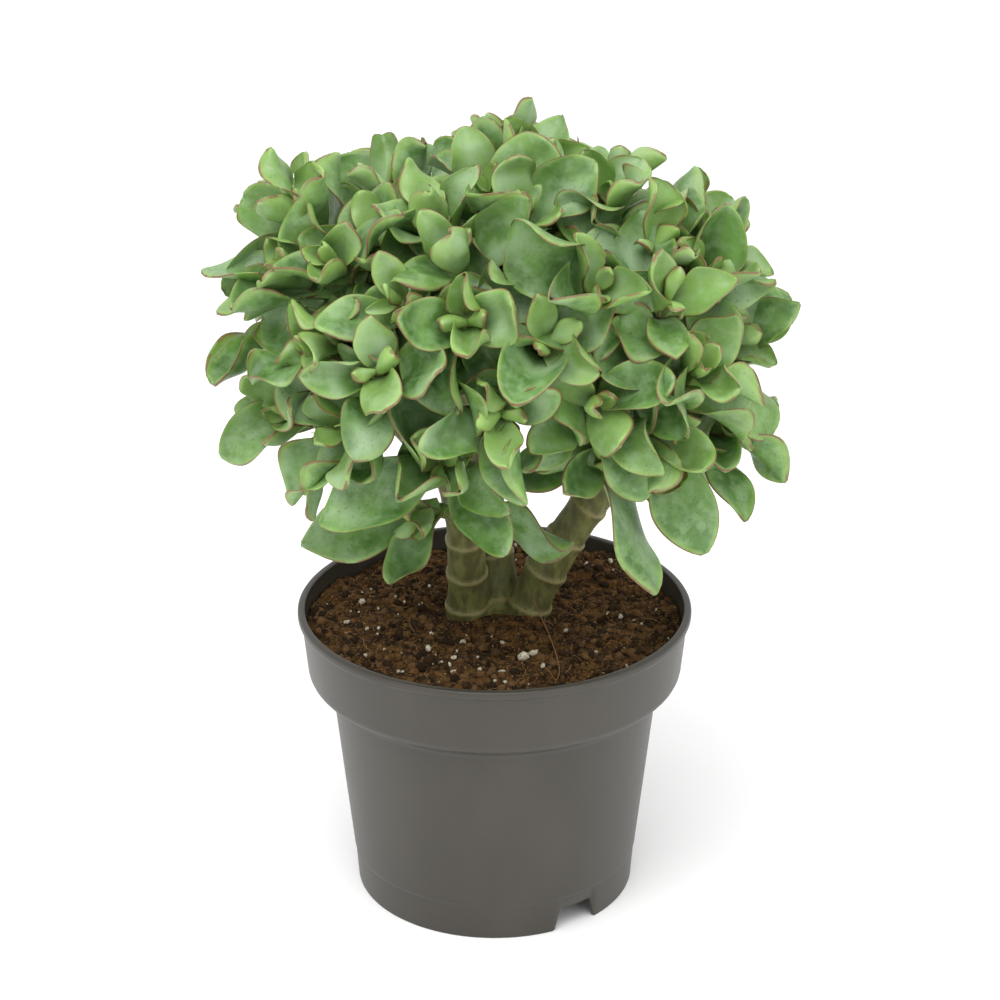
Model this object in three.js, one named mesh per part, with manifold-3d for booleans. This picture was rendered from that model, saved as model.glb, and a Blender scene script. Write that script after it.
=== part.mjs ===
// A ripple-leaf jade plant standing in its plastic nursery pot, at real size.
// Units are millimetres. +Z is up and the front is -Y. The origin is the centre of the pot's foot ring, on
// the surface that the pot stands on. The plant is grown from rules: three woody stems rise from one root
// crown and fork into limbs, each limb carries leafy shoots, and each shoot carries crossed pairs of thick wavy leaves
// that lean away from their neighbours until they have room.

import * as THREE from "three";
import { mergeVertices } from "three/addons/utils/BufferGeometryUtils.js";
import Module from "manifold-3d";

const wasm = await Module();
wasm.setup();

// ---------------------------------------------------------------- driving dimensions

const TOUCH_GAP = 0.3; // between two pieces that would touch

const pot = {
  height: 131,
  lipRadius: 85,
  lipHeight: 3.6,
  lipOverhang: 1.6, // how far the lip stands out past the collar
  collarDraft: 2.6, // how much narrower the collar is at its lower edge
  collarHeight: 30,
  ledgeHeight: 6, // the slope that joins the collar to the body
  bodyTopRadius: 71,
  bodyBottomRadius: 62.6,
  footHeight: 16.5,
  footRadius: 61,
  wall: 1.6,
  floorThickness: 2.2,
  drainHoleRadius: 4.5,
  drainHoleCircle: 38,
  drainHoleCount: 6,
  notchWidth: 21,
  notchHeight: 10.5,
  notchAzimuths: [35, 215], // degrees from the front, anticlockwise seen from above
  segments: 36, // round the pot and the soil in it
};

const soil = {
  freeboard: 9.5, // from the pot's lip down to the soil
  relief: 1.6,
};

const stem = {
  footRadius: 9.4,
  forkRadius: 7.2,
  ringSpacing: 19, // between the scars of fallen leaf pairs
  ringSwelling: 0.09,
  sides: 9,
};

const limb = { footRadius: 6, tipRadius: 4, sides: 6 };
const twig = { footRadius: 3.4, tipRadius: 1.8, sides: 5, reach: 34 };

const leaf = {
  growth: 1, // of the lengths listed below with the leaf pairs and the long leaves
  widthShare: 0.7, // of the leaf's length
  thickness: 2.6,
  baseWidthShare: 0.3, // of the blade's width, where the leaf clasps its twig
  widestAt: 0.62, // along the leaf
  cup: 0.3, // how far the margins stand up, as a share of the half width
  pairSpacing: 6,
};

// ---------------------------------------------------------------- solids from geometry

// A closed three.js geometry as a manifold-3d solid.
function solidOf(geometry) {
  const loose = geometry.index ? geometry.toNonIndexed() : geometry;
  const bare = new THREE.BufferGeometry().setAttribute("position", loose.getAttribute("position"));
  const merged = mergeVertices(bare, 1e-3);
  const corners = merged.index.array;
  const kept = [];
  for (let i = 0; i < corners.length; i += 3) {
    const [a, b, c] = corners.subarray(i, i + 3);
    if (a !== b && b !== c && a !== c) kept.push(a, b, c);
  }
  return new wasm.Manifold(
    new wasm.Mesh({
      numProp: 3,
      vertProperties: merged.attributes.position.array,
      triVerts: new Uint32Array(kept),
    }),
  );
}

function geometryOf(solid) {
  const made = solid.getMesh();
  const places = new Float32Array(made.numVert * 3);
  for (let i = 0; i < made.numVert; i++) {
    places.set(made.vertProperties.subarray(i * made.numProp, i * made.numProp + 3), i * 3);
  }
  return new THREE.BufferGeometry()
    .setAttribute("position", new THREE.BufferAttribute(places, 3))
    .setIndex(new THREE.BufferAttribute(made.triVerts, 1));
}

// Skins a stack of rings into one closed geometry. Each ring runs anticlockwise about the way the stack
// grows, and the first and the last may be single points.
function skin(rings) {
  const corners = [];
  const first = rings[0];
  const last = rings.at(-1);
  for (let j = 1; j + 1 < first.length; j++) corners.push(first[0], first[j + 1], first[j]);
  for (let j = 1; j + 1 < last.length; j++) corners.push(last[0], last[j], last[j + 1]);
  for (let i = 0; i + 1 < rings.length; i++) {
    const [low, high] = [rings[i], rings[i + 1]];
    const sides = Math.max(low.length, high.length);
    for (let j = 0; j < sides; j++) {
      const k = (j + 1) % sides;
      if (high.length > 1) corners.push(low.length > 1 ? low[j] : low[0], high[k], high[j]);
      if (low.length > 1) corners.push(low[j], low[k], high.length > 1 ? high[k] : high[0]);
    }
  }
  return new THREE.BufferGeometry().setFromPoints(corners);
}

// A profile of [radius, height] pairs turned about the Z axis.
function revolve(profile, segments) {
  const outline = profile.map(([radius, height]) => new THREE.Vector2(radius, height));
  return new THREE.LatheGeometry(outline, segments).rotateX(Math.PI / 2);
}

// A round rod along a curve. radiusAt takes the share of the way along.
function rod(curve, steps, sides, radiusAt) {
  const frames = curve.computeFrenetFrames(steps);
  const rings = [];
  for (let i = 0; i <= steps; i++) {
    const middle = curve.getPointAt(i / steps);
    const ring = [];
    for (let j = 0; j < sides; j++) {
      const turn = (2 * Math.PI * j) / sides;
      const radius = radiusAt(i / steps);
      ring.push(
        middle
          .clone()
          .addScaledVector(frames.normals[i], radius * Math.cos(turn))
          .addScaledVector(frames.binormals[i], radius * Math.sin(turn)),
      );
    }
    rings.push(ring);
  }
  return skin(rings);
}

const radians = THREE.MathUtils.degToRad;

// ---------------------------------------------------------------- pot

const potZ = {
  lipUnderside: pot.height - pot.lipHeight,
  collarEdge: pot.height - pot.collarHeight,
  bodyTop: pot.height - pot.collarHeight - pot.ledgeHeight,
  floorUnderside: pot.footHeight - pot.floorThickness,
};
const collarTopRadius = pot.lipRadius - pot.lipOverhang;
const collarEdgeRadius = collarTopRadius - pot.collarDraft;

// The pot's inner wall from its floor to its mouth, set inwards by a clearance.
function innerWall(clearance) {
  const inset = pot.wall + clearance;
  return [
    [pot.bodyBottomRadius - inset, pot.footHeight + clearance],
    [pot.bodyTopRadius - inset, potZ.bodyTop + pot.wall],
    [collarEdgeRadius - inset, potZ.collarEdge + pot.wall],
    [collarTopRadius - inset, potZ.lipUnderside],
  ];
}

function nurseryPot() {
  const outside = [
    [0, potZ.floorUnderside],
    [pot.footRadius - pot.wall, potZ.floorUnderside],
    [pot.footRadius - pot.wall, 0],
    [pot.footRadius, 0],
    [pot.bodyBottomRadius - pot.wall / 4, pot.footHeight],
    [pot.bodyBottomRadius, pot.footHeight],
    [pot.bodyTopRadius, potZ.bodyTop],
    [collarEdgeRadius, potZ.collarEdge],
    [collarTopRadius, potZ.lipUnderside],
    [pot.lipRadius, potZ.lipUnderside],
    [pot.lipRadius, pot.height],
    [collarTopRadius - pot.wall, pot.height],
  ];
  const inside = [...innerWall(0).reverse(), [0, pot.footHeight]];
  const shell = solidOf(revolve([...outside, ...inside], pot.segments));
  return drainCutters().reduce((left, cutter) => left.subtract(cutter), shell);
}

// Round holes through the floor, and the notches that let the water out from under it.
function drainCutters() {
  const cutters = [];
  for (let i = 0; i < pot.drainHoleCount; i++) {
    const turn = (2 * Math.PI * i) / pot.drainHoleCount;
    const radius = pot.drainHoleRadius;
    const hole = new THREE.CylinderGeometry(radius, radius, 4 * pot.floorThickness, 12)
      .rotateX(Math.PI / 2)
      .translate(pot.drainHoleCircle * Math.cos(turn), pot.drainHoleCircle * Math.sin(turn), pot.footHeight);
    cutters.push(solidOf(hole));
  }
  const half = pot.notchWidth / 2;
  const outline = new THREE.Shape()
    .moveTo(-half, -pot.notchHeight)
    .lineTo(half, -pot.notchHeight)
    .lineTo(half * 0.72, pot.notchHeight)
    .lineTo(-half * 0.72, pot.notchHeight);
  for (const azimuth of pot.notchAzimuths) {
    const notch = new THREE.ExtrudeGeometry(outline, { depth: pot.footRadius / 2, bevelEnabled: false })
      .translate(0, 0, pot.footRadius * 0.75)
      .rotateX(Math.PI / 2)
      .rotateZ(radians(azimuth));
    cutters.push(solidOf(notch));
  }
  return cutters;
}

// ---------------------------------------------------------------- soil and what lies on it

const soilLevel = pot.height - soil.freeboard;

// Height of the soil above its level: low waves and a bank behind the stems.
function soilRelief(x, y) {
  const waves = Math.sin(x / 9 + 1) * Math.cos(y / 11) + Math.sin((x + y) / 15);
  const bank = 5 * Math.exp(-((x - 44) ** 2 + (y - 52) ** 2) / 500);
  return soil.relief * 0.5 * waves + bank;
}

function pottingSoil() {
  const wallProfile = innerWall(TOUCH_GAP).filter(([, height]) => height < soilLevel);
  const mouth = innerWall(TOUCH_GAP).at(-1)[0];
  const shares = [1, 0.7, 0.4];
  const top = shares.map((share) => [(mouth - 0.5) * share, soilLevel]);
  const geometry = revolve([[0, wallProfile[0][1]], ...wallProfile, ...top, [0, soilLevel]], pot.segments);
  const places = geometry.getAttribute("position");
  for (let i = 0; i < places.count; i++) {
    const [x, y, z] = [places.getX(i), places.getY(i), places.getZ(i)];
    if (z > soilLevel - 0.01) places.setZ(i, z + soilRelief(x, y));
  }
  return solidOf(geometry);
}

// White grains of expanded perlite: [x, y, size].
const perliteGrains = [
  [3, -48, 5.6],
  [-17, -50, 4.2],
];

function perliteGrain([x, y, size], clearance) {
  const grain = new THREE.IcosahedronGeometry(size / 2 + clearance, 0);
  grain.scale(1.1, 0.85, 0.8).translate(x, y, soilLevel + soilRelief(x, y));
  return solidOf(grain);
}

// ---------------------------------------------------------------- stems and limbs

// Heights of the plant's points count from the pot's rim, so that the plant stands in a pot of any height.
const aboveRim = ([x, y, z]) => new THREE.Vector3(x, y, z + pot.height);

const stemPaths = {
  left_stem: [
    [-12, 9, -23],
    [-12, 7, 0],
    [-12, 1, 19],
    [-13, -6, 41],
    [-17, -13, 63],
  ],
  right_stem: [
    [12, 10, -23],
    [17, 9, 0],
    [29, 5, 26],
    [45, 0, 53],
    [60, -4, 75],
  ],
  back_stem: [
    [1, 16, -23],
    [1, 19, 0],
    [-2, 22, 21],
    [-5, 25, 51],
    [-4, 26, 77],
  ],
};

// Each limb leaves the fork at the top of its stem.
const limbEnds = {
  left_stem: [
    [-74, -12, 115],
    [-38, -56, 117],
    [-48, -26, 163],
    [-4, -52, 141],
  ],
  right_stem: [
    [94, -10, 125],
    [60, -56, 119],
    [56, -22, 167],
  ],
  back_stem: [
    [4, -8, 177],
    [-52, 50, 145],
    [50, 50, 145],
  ],
};

function stemSolid(points, clearance) {
  const curve = new THREE.CatmullRomCurve3(points.map(aboveRim));
  const length = curve.getLength();
  const rings = Math.round(length / stem.ringSpacing);
  const stepsPerRing = 2;
  const radiusAt = (share) => {
    const taper = THREE.MathUtils.lerp(stem.footRadius, stem.forkRadius, share);
    const atRing = Math.round(share * rings * stepsPerRing) % stepsPerRing === 1;
    return taper * (atRing ? 1 + stem.ringSwelling : 1) + clearance;
  };
  return solidOf(rod(curve, rings * stepsPerRing, stem.sides, radiusAt));
}

// The swollen base that the stems share, with the stumps of its main roots spreading below the soil.
function rootCrown(clearance) {
  const crown = new THREE.SphereGeometry(1, 12, 7)
    .rotateX(Math.PI / 2)
    .scale(21 + clearance, 12 + clearance, 10 + clearance)
    .translate(2, 9, soilLevel - 5);
  const roots = [20, 95, 160, 230, 305].map((azimuth) => {
    const out = new THREE.Vector3(Math.cos(radians(azimuth)), Math.sin(radians(azimuth)), 0);
    const heart = new THREE.Vector3(2, 9, soilLevel - 8);
    const path = new THREE.CatmullRomCurve3([
      heart,
      heart.clone().addScaledVector(out, 22).setZ(soilLevel - 20),
      heart.clone().addScaledVector(out, 38).setZ(soilLevel - 48),
    ]);
    return solidOf(rod(path, 3, 5, (share) => THREE.MathUtils.lerp(5, 1.6, share) + clearance));
  });
  return roots.reduce((whole, root) => whole.add(root), solidOf(crown));
}

function limbCurve(stemName, end) {
  const [before, fork] = stemPaths[stemName].slice(-2).map(aboveRim);
  const tip = aboveRim(end);
  const bow = fork.clone().lerp(tip, 0.5).add(fork.clone().sub(before).setLength(9));
  return new THREE.CatmullRomCurve3([fork, bow, tip]);
}

function limbSolid(curve, clearance) {
  const radiusAt = (share) => THREE.MathUtils.lerp(limb.footRadius, limb.tipRadius, share) + clearance;
  return solidOf(rod(curve, 4, limb.sides, radiusAt));
}

// ---------------------------------------------------------------- shoots and leaves

// Each shoot: its growing tip, the number of leaf pairs and its first pair's turn about the twig in degrees.
// A shoot with no foot springs from a limb. Its long leaves are listed one by one: the hour that the leaf points
// to on a clock seen from the front, how far it leans forwards, from 1 straight at the front to -1 straight
// back, and its length.
const shoots = [
  { name: "crest_left_far", tip: [-76, -36, 186], pairs: 4, spin: 20, longLeaves: [[10.9, 0.15, 44]] },
  {
    name: "left_shoulder",
    tip: [-78, -50, 166],
    pairs: 4,
    spin: 65,
    longLeaves: [[9.5, 0.15, 49], [9, 0.4, 36]],
  },
  { name: "left_brow", tip: [-62, -64, 176], pairs: 4, spin: 10 },
  { name: "crest_left", tip: [-46, -52, 176], pairs: 4, spin: 40 },
  { name: "crest_middle_left", tip: [-24, -50, 186], pairs: 4, spin: 75, longLeaves: [[11.4, 0.3, 36]] },
  { name: "brow_middle", tip: [-14, -76, 182], pairs: 4, spin: 50 },
  { name: "crown_left", tip: [-2, -34, 194], pairs: 4, spin: 30, longLeaves: [[10, 0.2, 32]] },
  { name: "crown_top", tip: [18, -20, 197], pairs: 4, spin: 50, longLeaves: [[11.8, 0.1, 36]] },
  { name: "crown_front", tip: [12, -58, 192], pairs: 4, spin: 15 },
  { name: "crown_right", tip: [46, -34, 189], pairs: 4, spin: 60, longLeaves: [[2, 0.2, 30]] },
  { name: "right_ridge", tip: [62, -58, 180], pairs: 4, spin: 20 },
  {
    name: "crest_right",
    tip: [82, -38, 169],
    pairs: 4,
    spin: 10,
    longLeaves: [[12.3, 0.1, 30], [1.5, 0.1, 36]],
  },
  { name: "right_shoulder", tip: [82, -54, 164], pairs: 4, spin: 65, longLeaves: [[2, 0.2, 40]] },
  { name: "middle_right", tip: [40, -92, 174], pairs: 4, spin: 30 },
  { name: "heart_right", tip: [20, -96, 154], pairs: 4, spin: 30 },
  { name: "right_heart", tip: [66, -80, 166], pairs: 4, spin: 75 },
  { name: "right_tip", tip: [95, -42, 136], pairs: 4, spin: 20, longLeaves: [[2, 0.1, 44], [2.8, 0.2, 32]] },
  { name: "right_low", tip: [66, -80, 112], pairs: 4, spin: 40, longLeaves: [[8.5, 0.5, 48], [5, 0.5, 58]] },
  { name: "right_middle", tip: [78, -84, 138], pairs: 4, spin: 35, longLeaves: [[3, 0.5, 38]] },
  { name: "left_front_low", tip: [-44, -102, 146], pairs: 4, spin: 20 },
  { name: "left_front", tip: [-64, -80, 150], pairs: 4, spin: 70, longLeaves: [[9.5, 0.5, 32]] },
  { name: "left_front_top", tip: [-36, -88, 168], pairs: 4, spin: 35 },
  { name: "middle_front", tip: [-10, -98, 164], pairs: 4, spin: 10 },
  { name: "middle_low", tip: [2, -106, 130], pairs: 4, spin: 20 },
  {
    name: "low_left",
    tip: [-80, -60, 112],
    pairs: 4,
    spin: 15,
    longLeaves: [[8.7, 0.3, 46], [10.5, 0.4, 30]],
  },
  { name: "low_left_front", tip: [-58, -88, 114], pairs: 4, spin: 50, longLeaves: [[8, 0.5, 36]] },
  {
    name: "right_hang",
    tip: [92, -44, 102],
    pairs: 3,
    spin: 20,
    longLeaves: [[3.4, 0.5, 48], [4.7, 0.6, 50], [2.6, 0.4, 40]],
  },
  { name: "front_low", tip: [-20, -98, 106], pairs: 4, spin: 50, longLeaves: [[8.3, 0.3, 56], [4, 0.6, 38]] },
  {
    name: "middle_low_right",
    tip: [38, -96, 130],
    pairs: 4,
    spin: 30,
    longLeaves: [[4, 0.6, 42], [8, 0.6, 40]],
  },
  {
    name: "low_left_stem",
    tip: [-32, -36, 57],
    pairs: 2,
    spin: 65,
    foot: [-13, -6, 41],
    longLeaves: [[8.6, 0.2, 62], [7.3, 0.7, 44], [3.3, 0.35, 58]],
  },
  {
    name: "low_right_stem",
    tip: [44, -78, 104],
    pairs: 3,
    spin: 10,
    foot: [60, -4, 75],
    longLeaves: [[5.2, 0.5, 62], [3.9, 0.5, 48], [8.6, 0.5, 44]],
  },
  { name: "back_left_edge", tip: [-87, 0, 138], pairs: 4, spin: 35 },
  { name: "back_right_edge", tip: [91, 12, 136], pairs: 4, spin: 60 },
  { name: "back_left_high", tip: [-82, 38, 164], pairs: 4, spin: 15 },
  { name: "back_right_high", tip: [80, 30, 157], pairs: 4, spin: 45 },
  { name: "back_crown_left", tip: [-44, 20, 181], pairs: 4, spin: 80 },
  { name: "back_crown_right", tip: [48, 28, 182], pairs: 4, spin: 5 },
  { name: "back_crown", tip: [2, 40, 192], pairs: 4, spin: 55 },
  { name: "back_left", tip: [-44, 97, 148], pairs: 4, spin: 30, longLeaves: [[10, -0.85, 46]] },
  { name: "back_right", tip: [46, 99, 146], pairs: 4, spin: 20, longLeaves: [[2, -0.85, 46]] },
  { name: "back_low_left", tip: [-64, 92, 110], pairs: 4, spin: 65 },
  { name: "back_low_right", tip: [66, 94, 108], pairs: 4, spin: 75 },
];

// From the youngest pair at a shoot's tip to the oldest: length, lean from the twig, and curl of the blade in
// degrees. A positive curl closes the leaf over the tip.
const pairAges = [
  { length: 17, lean: 12, curl: 20 },
  { length: 31, lean: 28, curl: 10 },
  { length: 39, lean: 44, curl: -10 },
  { length: 44, lean: 60, curl: -25 },
  { length: 44, lean: 78, curl: -40 },
];

// A repeatable scatter from -1 to 1 for leaf number i of shoot number s, one stream for each use.
function scatter(s, i, stream) {
  const mixed = Math.sin(s * 12.9898 + i * 78.233 + stream * 37.719) * 43758.5453;
  return 2 * (mixed - Math.floor(mixed)) - 1;
}

const heart = aboveRim([2, 0, 101]); // the point that twigs grow away from
const rootOfAxes = aboveRim([2, 10, 59]); // lower down, because a shoot turns up towards the light

// The point of the wood that a shoot springs from: the one nearest to a twig's reach behind the shoot's tip.
function springPoint(tip, woodPoints) {
  const wanted = tip.clone().addScaledVector(tip.clone().sub(heart).normalize(), -twig.reach);
  return woodPoints.reduce((best, point) =>
    point.distanceTo(wanted) < best.distanceTo(wanted) ? point : best,
  );
}

function mix(a, shareA, b, shareB) {
  return a.clone().multiplyScalar(shareA).addScaledVector(b, shareB);
}

// A leaf is its base point, its direction there, the way its upper face looks, its size and curl, and how
// freely it turns when its neighbours crowd it.
function leavesOfShoot(shoot, s, foot) {
  const tip = aboveRim(shoot.tip);
  const towardsFoot = tip.clone().sub(foot).normalize();
  const axis = mix(towardsFoot, 0.5, tip.clone().sub(rootOfAxes).normalize(), 1).normalize();
  const sideways = new THREE.Vector3(0, 0, 1).cross(axis).normalize();
  const forwards = axis.clone().cross(sideways);
  const leaves = [];
  for (let i = 2; i < 2 * shoot.pairs; i++) {
    // The youngest pair is folded in between the second one, which stands for both.
    const k = Math.floor(i / 2);
    const age = pairAges[k];
    const turn = radians(shoot.spin + 90 * k + 180 * (i % 2) + 22 * scatter(s, i, 1));
    const lean = radians(age.lean + 11 * scatter(s, i, 2));
    const outwards = mix(sideways, Math.cos(turn), forwards, Math.sin(turn));
    leaves.push({
      base: tip.clone().addScaledVector(axis, -leaf.pairSpacing * (k + 0.4)),
      direction: mix(axis, Math.cos(lean), outwards, Math.sin(lean)),
      face: mix(axis, Math.sin(lean), outwards, -Math.cos(lean)),
      length: leaf.growth * age.length * (1 + 0.16 * scatter(s, i, 3)),
      curl: radians(age.curl + 16 * scatter(s, i, 4)),
      freedom: 1,
    });
  }
  (shoot.longLeaves ?? []).forEach(([hour, lean, length], i) => {
    const turn = radians(30 * hour);
    const across = Math.sqrt(1 - lean ** 2);
    const chord = new THREE.Vector3(Math.sin(turn) * across, -lean, Math.cos(turn) * across);
    const up = mix(axis, 1, chord, -axis.dot(chord)).addScaledVector(forwards, 0.02).normalize();
    const curl = radians(-28 + 14 * scatter(s, i, 8));
    leaves.push({
      base: tip.clone().addScaledVector(axis, -leaf.pairSpacing * (Math.min(shoot.pairs, 2) + 0.6 + 0.5 * i)),
      direction: mix(chord, Math.cos(curl / 2), up, -Math.sin(curl / 2)),
      face: mix(up, Math.cos(curl / 2), chord, Math.sin(curl / 2)),
      length: leaf.growth * length,
      curl,
      freedom: 0.35,
    });
  });
  return leaves;
}

// A point on a leaf's midrib, with the directions of the rib, of the upper face and across the blade there.
function ribAt(leafRow, share) {
  const bend = leafRow.curl * share || 1e-6;
  const reach = (leafRow.length * share) / bend;
  const point = leafRow.base
    .clone()
    .addScaledVector(leafRow.direction, reach * Math.sin(bend))
    .addScaledVector(leafRow.face, reach * (1 - Math.cos(bend)));
  const face = leafRow.face
    .clone()
    .multiplyScalar(Math.cos(bend))
    .addScaledVector(leafRow.direction, -Math.sin(bend));
  const along = leafRow.direction
    .clone()
    .multiplyScalar(Math.cos(bend))
    .addScaledVector(leafRow.face, Math.sin(bend));
  return { point, face, across: along.cross(face) };
}

// Half the blade's width: a wedge that rises to the widest place, then a round end.
function halfWidth(leafRow, share) {
  const full = (leafRow.length * leaf.widthShare) / 2;
  if (share < leaf.widestAt) {
    const rise = THREE.MathUtils.smoothstep(share, 0, leaf.widestAt);
    return full * THREE.MathUtils.lerp(leaf.baseWidthShare, 1, rise);
  }
  return full * Math.sqrt(1 - ((share - leaf.widestAt) / (1 - leaf.widestAt)) ** 2);
}

// A leaf's solid: four-cornered sections with raised margins, between a point in its twig and one at its tip.
function leafSolid(leafRow, clearance) {
  const sections = [0.38, 0.76].map((share) => {
    const { point, face, across } = ribAt(leafRow, share);
    const half = halfWidth(leafRow, share) + clearance;
    const thick = leaf.thickness / 2 + clearance;
    const lift = leaf.cup * half;
    const place = (sideways, up) => point.clone().addScaledVector(across, sideways).addScaledVector(face, up);
    return [place(0, -thick), place(-half, lift), place(0, thick), place(half, lift)];
  });
  return solidOf(skin([[leafRow.base], ...sections, [ribAt(leafRow, 1).point]]));
}

// Leaves turn about their bases until their blades stand clear of the leaves of other pairs.
const crowding = { rounds: 40, range: 9, push: 0.035, most: 0.16 };
const probes = [
  [0.45, 0],
  [0.7, -0.8],
  [0.7, 0.8],
  [0.72, 0],
  [1, 0],
];

function settleLeaves(leaves) {
  for (let round = 0; round < crowding.rounds; round++) {
    const places = leaves.map((row) =>
      probes.map(([share, sideways]) => {
        const { point, across } = ribAt(row, share);
        return point.addScaledVector(across, sideways * halfWidth(row, Math.min(share, 0.7)));
      }),
    );
    const turns = leaves.map((row, a) => {
      const turn = new THREE.Vector3();
      for (let b = 0; b < leaves.length; b++) {
        if (a === b || places[a][3].distanceTo(places[b][3]) > 45) continue;
        for (const p of places[a]) {
          for (const q of places[b]) {
            const away = p.clone().sub(q);
            const near = 1 - away.length() / crowding.range;
            if (near <= 0) continue;
            turn.add(p.clone().sub(row.base).cross(away.normalize()).multiplyScalar(near));
          }
        }
      }
      return turn.multiplyScalar((crowding.push * leaves[a].freedom) / leaves[a].length);
    });
    leaves.forEach((row, a) => {
      const angle = Math.min(turns[a].length(), crowding.most);
      if (angle < 1e-5) return;
      const about = turns[a].normalize();
      row.direction.applyAxisAngle(about, angle);
      row.face.applyAxisAngle(about, angle);
    });
  }
}

function twigSolid(shoot, foot, clearance) {
  const tip = aboveRim(shoot.tip);
  const middle = foot.clone().lerp(tip, 0.5).addScaledVector(tip.clone().sub(heart).normalize(), -3);
  const radiusAt = (share) => THREE.MathUtils.lerp(twig.footRadius, twig.tipRadius, share) + clearance;
  return solidOf(rod(new THREE.CatmullRomCurve3([foot, middle, tip]), 2, twig.sides, radiusAt));
}

function shootSolid(shoot, foot, leaves, clearance) {
  const stalk = twigSolid(shoot, foot, clearance);
  return leaves.reduce((whole, row) => whole.add(leafSolid(row, clearance)), stalk);
}

// ---------------------------------------------------------------- assembly

const looks = {
  pot: { color: 0x5c5852, roughness: 0.5, metalness: 0 },
  soil: { color: 0x3d2a1a, roughness: 1, metalness: 0 },
  perlite: { color: 0xd9d2c0, roughness: 0.95, metalness: 0 },
  bark: { color: 0x6a6a3a, roughness: 0.6, metalness: 0 },
  leaf: { color: 0x6f9a5a, roughness: 0.45, metalness: 0 },
};

const jadePlant = new THREE.Group();
const placed = [];

function biggestPiece(solid) {
  const pieces = solid.decompose();
  return pieces.reduce((best, piece) => (piece.volume() > best.volume() ? piece : best));
}

function boxesMeet(a, b) {
  const [p, q] = [a.boundingBox(), b.boundingBox()];
  return [0, 1, 2].every((axis) => p.min[axis] < q.max[axis] && q.min[axis] < p.max[axis]);
}

// Adds a piece, cut back from the pieces placed before it and from the neighbours given. shape takes a
// clearance and returns the solid.
function place(name, look, shape, neighbours = []) {
  let solid = shape(0);
  for (const other of [...placed, ...neighbours]) {
    if (boxesMeet(solid, other)) solid = solid.subtract(other);
  }
  const mesh = new THREE.Mesh(geometryOf(biggestPiece(solid)), new THREE.MeshStandardMaterial(looks[look]));
  mesh.name = name;
  jadePlant.add(mesh);
  placed.push(shape(TOUCH_GAP));
}

place("root_crown", "bark", rootCrown);
const limbCurves = [];
for (const [name, points] of Object.entries(stemPaths)) {
  place(name, "bark", (clearance) => stemSolid(points, clearance));
}
for (const [stemName, ends] of Object.entries(limbEnds)) {
  ends.forEach((end, i) => {
    const curve = limbCurve(stemName, end);
    limbCurves.push(curve);
    const name = `${stemName.replace("_stem", "")}_limb_${i + 1}`;
    place(name, "bark", (clearance) => limbSolid(curve, clearance));
  });
}
perliteGrains.forEach((grain, i) => {
  place(`perlite_grain_${i + 1}`, "perlite", (clearance) => perliteGrain(grain, clearance));
});
place("potting_soil", "soil", () => pottingSoil());
placed.pop(); // nothing placed later reaches into the soil
place("nursery_pot", "pot", () => nurseryPot());
placed.pop();

const woodPoints = [
  ...limbCurves.flatMap((curve) => curve.getSpacedPoints(6).slice(1)),
  ...Object.values(stemPaths).map((points) => aboveRim(points.at(-2))),
];
const feet = shoots.map(({ foot, tip }) => (foot ? aboveRim(foot) : springPoint(aboveRim(tip), woodPoints)));
const allLeaves = shoots.map((shoot, s) => leavesOfShoot(shoot, s, feet[s]));
settleLeaves(allLeaves.flat());
const twigs = shoots.map((shoot, s) => twigSolid(shoot, feet[s], TOUCH_GAP));
shoots.forEach((shoot, s) => {
  const shape = (clearance) => shootSolid(shoot, feet[s], allLeaves[s], clearance);
  const otherTwigs = twigs.filter((_, other) => other !== s);
  place(`shoot_${shoot.name}`, "leaf", shape, otherTwigs);
});

export default jadePlant;
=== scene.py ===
# %% [markdown]
# # A ripple-leaf jade plant in its nursery pot
# A jade plant is a small tree. Three woody stems share one root crown, they fork into limbs, and every
# limb carries green twigs that end in rosettes of thick wavy leaves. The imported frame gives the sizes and
# the place of every piece. This lesson grows the fine surfaces around it: each shape is a formula worked
# out with numpy on a whole grid at once, and each finish is a small network of shader nodes written as
# Python expressions.

import bmesh
import bpy
import numpy as np
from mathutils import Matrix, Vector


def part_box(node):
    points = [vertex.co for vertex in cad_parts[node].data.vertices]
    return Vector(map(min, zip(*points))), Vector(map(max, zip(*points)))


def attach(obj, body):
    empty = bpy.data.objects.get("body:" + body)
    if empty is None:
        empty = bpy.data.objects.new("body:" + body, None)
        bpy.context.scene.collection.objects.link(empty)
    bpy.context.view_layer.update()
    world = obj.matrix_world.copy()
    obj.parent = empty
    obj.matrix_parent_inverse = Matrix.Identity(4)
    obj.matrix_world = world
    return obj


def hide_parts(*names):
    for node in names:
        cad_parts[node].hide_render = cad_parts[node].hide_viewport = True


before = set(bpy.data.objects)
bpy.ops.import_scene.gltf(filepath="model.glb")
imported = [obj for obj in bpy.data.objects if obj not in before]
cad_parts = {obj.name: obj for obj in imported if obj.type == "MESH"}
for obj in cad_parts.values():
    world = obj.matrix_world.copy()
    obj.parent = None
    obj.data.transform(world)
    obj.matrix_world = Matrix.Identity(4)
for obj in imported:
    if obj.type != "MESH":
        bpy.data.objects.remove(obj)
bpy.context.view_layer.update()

# %% [markdown]
# ## Camera, floor and light
# A potted plant shows best from a little above and through a long lens, which keeps the pot's sides
# nearly parallel. The light is a big soft source above and in front, in a white room: the crown's top is
# bright, its inside falls dark, and the pot's edges pick up the white walls.

# %% Camera
MM = 0.001
CAMERA_PLACE = (0, -1.0834, 0.647)
CAMERA_DIP = 23.35  # degrees below the horizon
CAMERA_TURN = 0.124  # degrees towards the right
LENS = 99.9

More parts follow.
